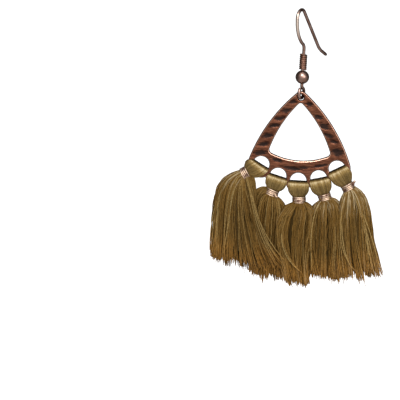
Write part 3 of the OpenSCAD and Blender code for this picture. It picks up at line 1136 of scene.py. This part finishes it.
@dataclass
class Skirt:
    """The threads that fall from a tassel's neck, and the dark form of painted shade that fills them.

    They are drawn about twice as thick as real rayon, and fewer, so that each one shows.
    """

    neck: Neck
    habit: ThreadHabit = ThreadHabit()
    length: float = 18.5
    width: float = 7.2
    depth: float = 6.4
    ridges: int = 8
    crease: float = 0.16
    hang_straight: float = 0.6
    thread_r: float = 0.106
    density: float = 108
    steps: int = 20
    locks: int = 34
    # Threads leave the neck at a share of the tie's half height, and fill a share of its width
    neck_leave: float = 0.75
    neck_fill: float = 0.95
    # A flare grows towards the rim, comes forward, starts late and shortens the part that hangs
    flare_power: float = 1.3
    flare_front: float = 0.12
    flare_late: float = 0.85
    flare_sink: float = 0.05
    # Shade down a thread. Threads within are darker, up to a limit. The higher the last three are, the
    # sooner below the neck darkness and tone are full, and the gleam is gone
    shade: tuple[float, ...] = (0.05, 0.04, 0.03, 0.05, 0.07, 0.1, 0.1, 0.06, 0.02, -0.02)
    inner_dark: float = 1.5
    inner_limit: float = 0.7
    dark_soon: float = 3
    tone_soon: float = 2.5
    gleam_gone: float = 1.5
    # A loose bundle of this many threads lies among the others; fewer are bright and lie on top
    bundle: int = 20
    bundle_tint: tuple[float, float] = (0.2, 0.8)
    bundle_shade: tuple[float, float] = (0.0, 0.24)
    stray_tint: tuple[float, float] = (0.4, 1)
    stray_spread: Triple = (0.2, 0.12, 0.4)
    # The dark form of painted shade: its share of the skirt's width and length, its sides, tint and shade
    core_share: float = 0.8
    core_len: float = 0.9
    core_sides: int = 24
    core_tint: float = 0.2
    core_shade: float = 0.7

    def control(self, angle: float, share: float) -> list[Vector]:
        """Work out the curve of a thread that lies at a place in the skirt.

        Args:
            angle: its place round the skirt, in degrees.
            share: its distance from the skirt's middle, from 0 to 1.

        Returns:
            Four control points, from the tie to the cut end.
        """
        neck, fall = self.neck, self.neck.fall
        form = 1 - self.crease * (1 - abs(math.cos(math.radians(self.ridges * angle / 2))))
        turn = polar(1, angle)
        length = self.length * fall.length
        wide = share * form * turn.x * self.width * fall.width / 2
        deep = share * form * turn.y * self.depth / 2
        top = neck.tie + self.neck_leave * neck.tie_half * down(fall.lean)
        out = across(fall.lean) * turn.x + Vector((0, turn.y, 0))
        start = top + self.neck_fill * neck.radius * share * out
        reach = abs(share * turn.x) ** self.flare_power
        flare = reach * (fall.flare[1] if turn.x > 0 else -fall.flare[0])
        end = Vector((
            neck.tie.x + fall.shift[0] + wide + flare,
            fall.shift[1] + deep - self.flare_front * abs(flare),
            top.z - length + wide * fall.cut + flare * flare / (2 * length),
        ))
        swung = across(fall.tilt) * wide + Vector((0, deep, 0))
        rise = self.hang_straight * length * (1 - self.flare_sink * abs(flare))
        return [
            start,
            start + fall.leave * length * down(fall.lean) + fall.swing * swung,
            end + Vector((-self.flare_late * flare - fall.slant, 0, rise)),
            end,
        ]

    def fading(self) -> list[float]:
        """Spread the skirt's shade and the tassel's own tone over a thread.

        Returns:
            The shade at each step down the thread.
        """
        last = len(self.shade) - 1
        values = []
        for k in range(self.steps + 1):
            place = last * k / self.steps
            low = min(int(place), last - 1)
            base = mixed(self.shade[low], self.shade[low + 1], place - low)
            values.append(base + self.neck.fall.tone * min(1.0, self.tone_soon * k / self.steps))
        return values

    def draw_lock(self) -> Lock:
        """Draw one of the skirt's locks by chance.

        Returns:
            The lock.
        """
        rng, habit = self.neck.rng, self.habit
        return Lock(
            angle=rng.uniform(0, 360),
            share=math.sqrt(rng.uniform(*habit.lock_share)),
            pull=rng.uniform(*habit.lock_pull),
            sway=Vector((rng.gauss(0, habit.lock_sway), rng.gauss(0, habit.lock_sway), 0)),
            tint=rng.gauss(0, habit.lock_tint),
            cut=rng.gauss(0, habit.lock_cut),
        )

    def thread(self, locks: list[Lock], fading: list[float]) -> Strand:
        """Lay one thread, drawn towards the lock that it is nearest to.

        Args:
            locks: the skirt's locks.
            fading: shade at each step down a thread.

        Returns:
            The strand.
        """
        rng, habit = self.neck.rng, self.habit
        angle = rng.uniform(0, 360)
        share = math.sqrt(rng.uniform(*habit.share)) * rng.choice(habit.stand_out)
        here = share * polar(1, angle)
        lock = min(locks, key=lambda one: (one.share * polar(1, one.angle) - here).length)
        own = self.control(angle, share)
        common = self.control(lock.angle, lock.share)
        cut = lock.cut + rng.gauss(0, habit.cut)
        pull = lock.pull * rng.uniform(*habit.pull)
        phase = rng.uniform(*habit.phase)
        speed = rng.uniform(*habit.speed)
        curl = rng.uniform(*habit.curl)
        sway = Vector((*(rng.gauss(0, spread) for spread in habit.sway), 0))
        crimp = polar(rng.uniform(*habit.crimp), rng.uniform(0, 360)).to_3d()
        route = []
        for k in range(self.steps + 1):
            t = k / self.steps * (1 + cut)
            drawn = pull * min(1.0, habit.pull_soon * t) * (habit.pull_full - habit.pull_lost * t)
            point = bezier(own, t).lerp(bezier(common, t), drawn)
            point += lock.sway * math.sin(habit.lock_bend * t)
            point += sway * math.sin(phase + speed * t) * (habit.sway_at_neck + t)
            route.append(point + crimp * math.sin(phase + curl * t))
        dark = min(self.inner_limit, self.inner_dark * (1 - share))
        glow = self.neck.fall.gleam * rng.choice(habit.gleam)
        shade = []
        for k, base in enumerate(fading):
            inner = dark * min(1, self.dark_soon * k / self.steps)
            shade.append(base + inner - glow * max(0, 1 - self.gleam_gone * k / self.steps))
        tint = min(1.0, max(0.0, rng.gauss(*habit.tint) + lock.tint))
        return Strand(route, self.thread_r * rng.uniform(*habit.thick), tint, tuple(shade))

    def strays(self, places: list[Triple], count: int) -> list[Strand]:
        """Lay loose threads that lie over the others.

        Args:
            places: four control points about the tie, in millimetres.
            count: number of threads.

        Returns:
            The strands.
        """
        rng = self.neck.rng
        bundled = count >= self.bundle
        fading = self.fading()
        wide, deep, high = self.stray_spread
        strands = []
        for _ in range(count):
            ways = []
            for k, place in enumerate(places, start=1):
                off = Vector((rng.gauss(0, wide * k), rng.gauss(0, deep), rng.gauss(0, high)))
                ways.append(self.neck.tie + Vector(place) + off)
            route = [bezier(ways, k / self.steps) for k in range(self.steps + 1)]
            tint = rng.uniform(*(self.bundle_tint if bundled else self.stray_tint))
            darker = rng.uniform(*self.bundle_shade) if bundled else 0.0
            strands.append(Strand(route, self.thread_r, tint, tuple(value + darker for value in fading)))
        return strands

    def strands(self) -> list[Strand]:
        """Lay the threads of the skirt, drawn together in locks.

        Returns:
            The strands.
        """
        locks = [self.draw_lock() for _ in range(self.locks)]
        fading = self.fading()
        count = round(self.density * self.width * self.neck.fall.width)
        return [self.thread(locks, fading) for _ in range(count)]

    def core(self) -> bpy.types.Mesh:
        """Fill the skirt with a dark form of painted shade, so nothing shows through between its threads.

        Returns:
            The mesh, in millimetres about the frame's top hole.
        """
        bm = bmesh.new()
        values = {"along": 0.0, "tint": self.core_tint, "shade": self.core_shade}
        layers = [(bm.verts.layers.float.new(label), value) for label, value in values.items()]
        # A flat grid is rolled up: across it runs the way round the skirt, and up it the way down
        bmesh.ops.create_grid(bm, x_segments=self.core_sides, y_segments=self.steps - 1, size=0.5)
        for vert in bm.verts:
            around, way = vert.co.x + 0.5, vert.co.y + 0.5
            vert.co = bezier(self.control(360 * around, self.core_share), self.core_len * way)
            for layer, value in layers:
                vert[layer] = value
        bmesh.ops.remove_doubles(bm, verts=bm.verts[:], dist=SAME_PLACE)
        bmesh.ops.holes_fill(bm, edges=bm.edges[:], sides=0)
        bmesh.ops.recalc_face_normals(bm, faces=bm.faces[:])
        return finish_mesh("core", bm, 60)


@dataclass
class BarLoop:
    """The threads over the bar: up the front from the neck, through the hole and down the back.

    A row of form is a share of the way to the tie, with the loop's width and depth there as shares.
    """

    neck: Neck
    width: float = 4.9
    depth: float = 1.575
    plate_clear: float = 0.7
    thread_r: float = 0.1
    count: int = 42
    layers: int = 2
    form: tuple[Triple, ...] = (
        (0.02, 0.86, 0.45), (0.05, 0.92, 0.74), (0.13, 0.97, 0.93), (0.26, 1, 1),
        (0.42, 1.01, 0.97), (0.57, 0.95, 0.9), (0.7, 0.8, 0.78),
    )
    fullness: float = 2.4
    margin: float = 0.985
    layer_inset: float = 1.4
    neck_rise: float = 0.4
    neck_fill: float = 0.85
    crown_drop: float = 0.05
    crown_w: float = 0.3
    jitter: float = 0.3
    wave: float = 0.03
    # Painted shade that each pair of threads gets, so that the loop looks ribbed
    rib_shade: tuple[float, float] = (-0.1, 0.26)
    tint: tuple[float, float] = (0.82, 0.1)
    thick: tuple[float, float] = (0.85, 1.15)
    # Painted shade from crown to neck: dark in the hole, a pale painted gleam below it, darker at the neck
    shade: tuple[float, ...] = (0.97, 0.6, -0.42, -0.06, 0.36, 0.42, 0.45, 0.55)

    def point(self, row: Triple, s: float, side: Side, inset: float) -> Vector:
        """Find a point on one face of the loop.

        Args:
            row: row of the form.
            s: place across the loop, from -1 to 1.
            side: face of the frame.
            inset: depth of the thread below the form's surface.

        Returns:
            The point.
        """
        way, wide, deep = row
        half = wide * self.width / 2 - inset
        full = deep * self.depth - inset
        least = min(self.plate_clear, full)
        y = least + (full - least) * math.sqrt(max(0.0, 1 - abs(s) ** self.fullness))
        lean = mixed(self.neck.bar_lean, self.neck.fall.lean, way)
        middle = self.neck.hole + self.neck.way * way
        return middle + across(lean) * s * half + Vector((0, side.value * y, 0))

    def route(self, s: float, layer: int) -> list[Vector]:
        """Lead a thread from the neck up the front, through the hole and down the back to the neck.

        Args:
            s: place across the loop, from -1 to 1.
            layer: 0 for the outer layer of threads and 1 for the one below it.

        Returns:
            Points of its route.
        """
        neck, lean = self.neck, self.neck.fall.lean
        inset = self.thread_r * (1 + self.layer_inset * layer)
        end = neck.tie - self.neck_rise * neck.tie_half * down(lean)
        turn = math.sqrt(max(0.0, 1 - s * s))
        legs = {}
        for side in Side:
            out = across(lean) * s + Vector((0, side.value * turn, 0))
            legs[side] = [self.point(row, s, side, inset) for row in self.form]
            legs[side].append(end + self.neck_fill * neck.radius * out)
        crown = neck.hole + neck.way * (self.crown_drop * layer)
        crown += across(neck.bar_lean) * s * self.crown_w * self.width
        return legs[Side.FRONT][::-1] + [crown] + legs[Side.BACK]

    def strands(self) -> list[Strand]:
        """Lay the threads in layers, whose painted shade is ribbed by pairs.

        Returns:
            The strands.
        """
        rng = self.neck.rng
        strands = []
        rib_shade = [rng.uniform(*self.rib_shade) for _ in range(self.count)]
        for layer in range(self.layers):
            for i in range(self.count):
                place = i + 0.5 + rng.uniform(-self.jitter, self.jitter)
                s = self.margin * (-1 + 2 * place / self.count)
                wave = across(self.neck.bar_lean) * rng.uniform(-self.wave, self.wave)
                route = [point + wave * math.sin(k) for k, point in enumerate(self.route(s, layer))]
                shade = tuple(min(1.0, value + rib_shade[i // 2]) for value in self.shade)
                radius = self.thread_r * rng.uniform(*self.thick)
                tint = min(1.0, max(0.0, rng.gauss(*self.tint)))
                strands.append(Strand(route, radius, tint, shade[::-1] + (1.0,) + shade))
        return strands


@dataclass
class ThreadTassel:
    """One bundle of threads, looped over the bar and falling in a skirt."""

    neck: Neck

    @property
    def node(self) -> str:
        """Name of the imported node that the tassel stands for."""
        return f"tassel_{self.neck.number + 1}"

    def build(self) -> bpy.types.Object:
        """Make the tassel as one mesh of its core and its threads.

        Returns:
            The piece.
        """
        skirt = Skirt(self.neck)
        strands = skirt.strands() + BarLoop(self.neck).strands()
        for places, count in STRAYS.get(self.neck.number, ()):
            strands += skirt.strays(places, count)
        bm = bmesh.new()
        for mesh in (skirt.core(), spin_strands("threads", strands, 4)):
            bm.from_mesh(mesh)
            bpy.data.meshes.remove(mesh)
        mesh = bpy.data.meshes.new("threads")
        bm.to_mesh(mesh)
        bm.free()
        return show(f"thread_{self.node}", mesh, self.neck.frame.apex)


# Twisted ends that show, by tie: start as a share of its radius, and direction across and down the neck
TIE_ENDS = {1: (0.5, 0.6, 0.5), 4: (0.95, 0.75, -0.45)}


@dataclass
class WireTie:
    """The wire wound round a tassel's neck by hand, with its twisted end where that shows."""

    neck: Neck
    wire_r: float = 0.17
    radius: float = 1.36
    turns: float = 3.6
    pitch: float = 0.38
    wobble: float = 0.045
    steps: int = 20
    start: float = 40
    blunt: float = 0.8
    sides: int = 8
    # The end's two wires: length, thickness, distance apart, steps and turn, and how far it stands out
    end_len: float = 0.9
    end_wire: float = 0.9
    end_apart: float = 0.85
    end_steps: int = 14
    end_turn: float = 40
    end_lift: float = 0.1
    end_front: float = 0.3

    def build(self) -> bpy.types.Object:
        """Wind the tie.

        Returns:
            The piece.
        """
        neck = self.neck
        axis = down(neck.fall.lean)
        side = across(neck.fall.lean)
        count = round(self.turns * self.steps)
        wobble = [neck.rng.gauss(0, self.wobble) for _ in range(int(self.turns) + 2)]
        route = []
        for k in range(count + 1):
            turn = self.turns * k / count
            low = int(turn)
            off = mixed(wobble[low], wobble[low + 1], turn - low)
            flat = polar(self.radius + off, self.start + 360 * turn)
            rise = self.pitch * (turn - self.turns / 2) + off
            route.append(neck.tie + side * flat.x + Vector((0, -flat.y, 0)) - axis * rise)
        strands = [Strand(route, self.wire_r, blunt=self.blunt)]
        if neck.number in TIE_ENDS:
            strands += self.twist(side, axis, *TIE_ENDS[neck.number])
        name = f"rose_tie_{neck.number + 1}"
        return show(name, spin_strands(name, strands, self.sides), neck.frame.apex)

    def twist(
        self, side: Vector, axis: Vector, share: float, out_way: float, down_way: float
    ) -> list[Strand]:
        """Twist two wires into the end that stands out of the tie at its right.

        Args:
            side: direction across the neck.
            axis: direction down the neck.
            share: where the twist starts, as a share of the tie's radius to the right.
            out_way: part of its direction across the neck.
            down_way: part of its direction down the neck.

        Returns:
            The two strands.
        """
        front = math.sqrt(1 - share * share) + self.end_lift
        start = self.neck.tie + side * share * self.radius + Vector((0, -front * self.radius, 0))
        way = (side * out_way + axis * down_way + Vector((0, -self.end_front, 0))).normalized()
        up = way.cross(Vector((0, 1, 0))).normalized()
        out = way.cross(up)
        strands = []
        for half in (0, 180):
            route = []
            for k in range(self.end_steps + 1):
                turn = polar(self.end_apart * self.wire_r, half + self.end_turn * k)
                route.append(start + way * self.end_len * k / self.end_steps + up * turn.x + out * turn.y)
            strands.append(Strand(route, self.wire_r * self.end_wire, blunt=self.blunt))
        return strands


# The studio


@dataclass
class Studio:
    """Camera, two lights, the floor and the room that the metal mirrors."""

    apex: Vector
    azimuth: float = 3.57
    elevation: float = 10.64
    roll: float = 2.87
    lens: float = 177.1
    distance: float = 435
    aim: Triple = (-20.95, 0, -24.12)
    lit: Triple = (0, 0, -20)
    light_size: float = 300
    # A wide soft light above the camera and a weaker one to its right: name, place and power
    lights_hung: tuple[tuple[str, Triple, float], ...] = (
        ("key_light", (-40, -480, 460), 3.0),
        ("fill_light", (320, -440, 180), 1.1),
    )
    floor_z: float = -160
    floor_half: float = 8000
    # The room's common brightness, and its bright lobes: direction, where each starts and its brightness
    dim: float = 0.09
    lobes: tuple[tuple[Triple, float, float], ...] = (
        ((-0.1, -0.75, 0.6), 0.4, 1.1),
        ((0.25, -0.55, -0.8), 0.0, 0.8),
    )
    lobe_full: float = 0.97

    def build(self) -> None:
        """Place everything."""
        self.camera()
        self.lights()
        self.floor()
        self.world()
        bpy.context.scene.view_settings.view_transform = "Standard"

    def camera(self) -> None:
        """Look at the earring from the photograph's angle, with its frame and tilt."""
        data = bpy.data.cameras.new("studio_camera")
        data.lens = self.lens
        data.clip_start = 0.01
        data.clip_end = 50
        camera = put_in_scene("studio_camera", data)
        a, e = math.radians(self.azimuth), math.radians(self.elevation)
        back = Vector((math.sin(a) * math.cos(e), -math.cos(a) * math.cos(e), math.sin(e)))
        aim = self.apex + Vector(self.aim) * MM
        turn = (-back).to_track_quat("-Z", "Y").to_matrix().to_4x4()
        tilt = Matrix.Rotation(math.radians(self.roll), 4, "Z")
        camera.matrix_world = Matrix.Translation(aim + back * self.distance * MM) @ turn @ tilt
        bpy.context.scene.camera = camera

    def lights(self) -> None:
        """Hang the two lights and turn them to the earring."""
        target = self.apex + Vector(self.lit) * MM
        for name, place, power in self.lights_hung:
            data = bpy.data.lights.new(name, "AREA")
            data.shape = "SQUARE"
            data.size = self.light_size * MM
            data.energy = power
            light = put_in_scene(name, data)
            light.location = target + Vector(place) * MM
            light.rotation_euler = (target - light.location).to_track_quat("-Z", "Y").to_euler()

    def floor(self) -> None:
        """Lay the pale floor well below the earring."""
        bm = bmesh.new()
        bmesh.ops.create_grid(bm, x_segments=1, y_segments=1, size=self.floor_half * MM)
        bmesh.ops.translate(bm, verts=bm.verts[:], vec=(0, 0, self.floor_z * MM))
        mesh = bpy.data.meshes.new("studio_floor")
        bm.to_mesh(mesh)
        bm.free()
        mesh.materials.append(PaleFloor().material())
        floor = put_in_scene("studio_floor", mesh)
        floor.visible_glossy = False

    def world(self) -> None:
        """Make the room bright in front and dark at its sides and back."""
        world = bpy.data.worlds.new("studio")
        world.use_nodes = True
        tree = world.node_tree
        tree.nodes.clear()
        place = add_node(tree, "ShaderNodeTexCoord").outputs["Generated"]
        total = self.dim
        for way, edge, bright in self.lobes:
            facing = add_node(tree, "ShaderNodeVectorMath", {"operation": "DOT_PRODUCT"}, {
                0: place, 1: Vector(way).normalized()})
            lobe = add_node(tree, "ShaderNodeMapRange", {"interpolation_type": "SMOOTHSTEP"}, {
                "Value": facing.outputs["Value"], "From Min": edge, "From Max": self.lobe_full,
                "To Max": bright})
            total = add_node(tree, "ShaderNodeMath", {"operation": "ADD"}, {
                0: lobe.outputs[0], 1: total}).outputs[0]
        room = add_node(tree, "ShaderNodeBackground", {}, {"Strength": total})
        add_node(tree, "ShaderNodeOutputWorld", {}, {"Surface": room.outputs[0]})
        bpy.context.scene.world = world


# The whole


def finish_piece(
    piece: bpy.types.Object, body: str, material: bpy.types.Material, node: str
) -> None:
    """Dress a piece and say what it rides on and stands for.

    Args:
        piece: the piece.
        body: the body that it moves with.
        material: its finish.
        node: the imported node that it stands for.
    """
    piece.data.materials.clear()
    piece.data.materials.append(material)
    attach(piece, body)
    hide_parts(node)
    LOG.info("%s: %d faces, for %s on %s", piece.name, len(piece.data.polygons), node, body)


def main() -> None:
    """Build the earring, its finishes and the studio."""
    logging.basicConfig(level=logging.INFO, format="%(name)s: %(message)s")
    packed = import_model()
    swing = next(joint for joint in packed["joints"] if joint["name"] == "drop_swing")
    apex = Vector(swing["pos_m"])

    bronze = MAUVE_BRONZE.material()
    darker_bronze = DARKER_BRONZE.material()
    copper = AntiqueCopper().material()
    rayon = OliveRayon().material()
    rose = ROSE_WIRE.material()

    finish_piece(EarHook(apex).build(), "hook", bronze, "ear_hook")
    finish_piece(StemBead(apex).build(), "hook", bronze, "hook_bead")
    finish_piece(StemCoil(apex).build(), "coil", darker_bronze, "hook_coil")
    frame = HammeredFrame(apex)
    finish_piece(frame.build(), "drop", copper, "hammered_frame")
    for number, fall in enumerate(FALLS):
        neck = Neck(number, frame, fall)
        tassel = ThreadTassel(neck)
        finish_piece(tassel.build(), "drop", rayon, tassel.node)
        finish_piece(WireTie(neck).build(), "drop", rose, f"tie_{number + 1}")

    Studio(apex).build()


if __name__ == "__main__":
    main()
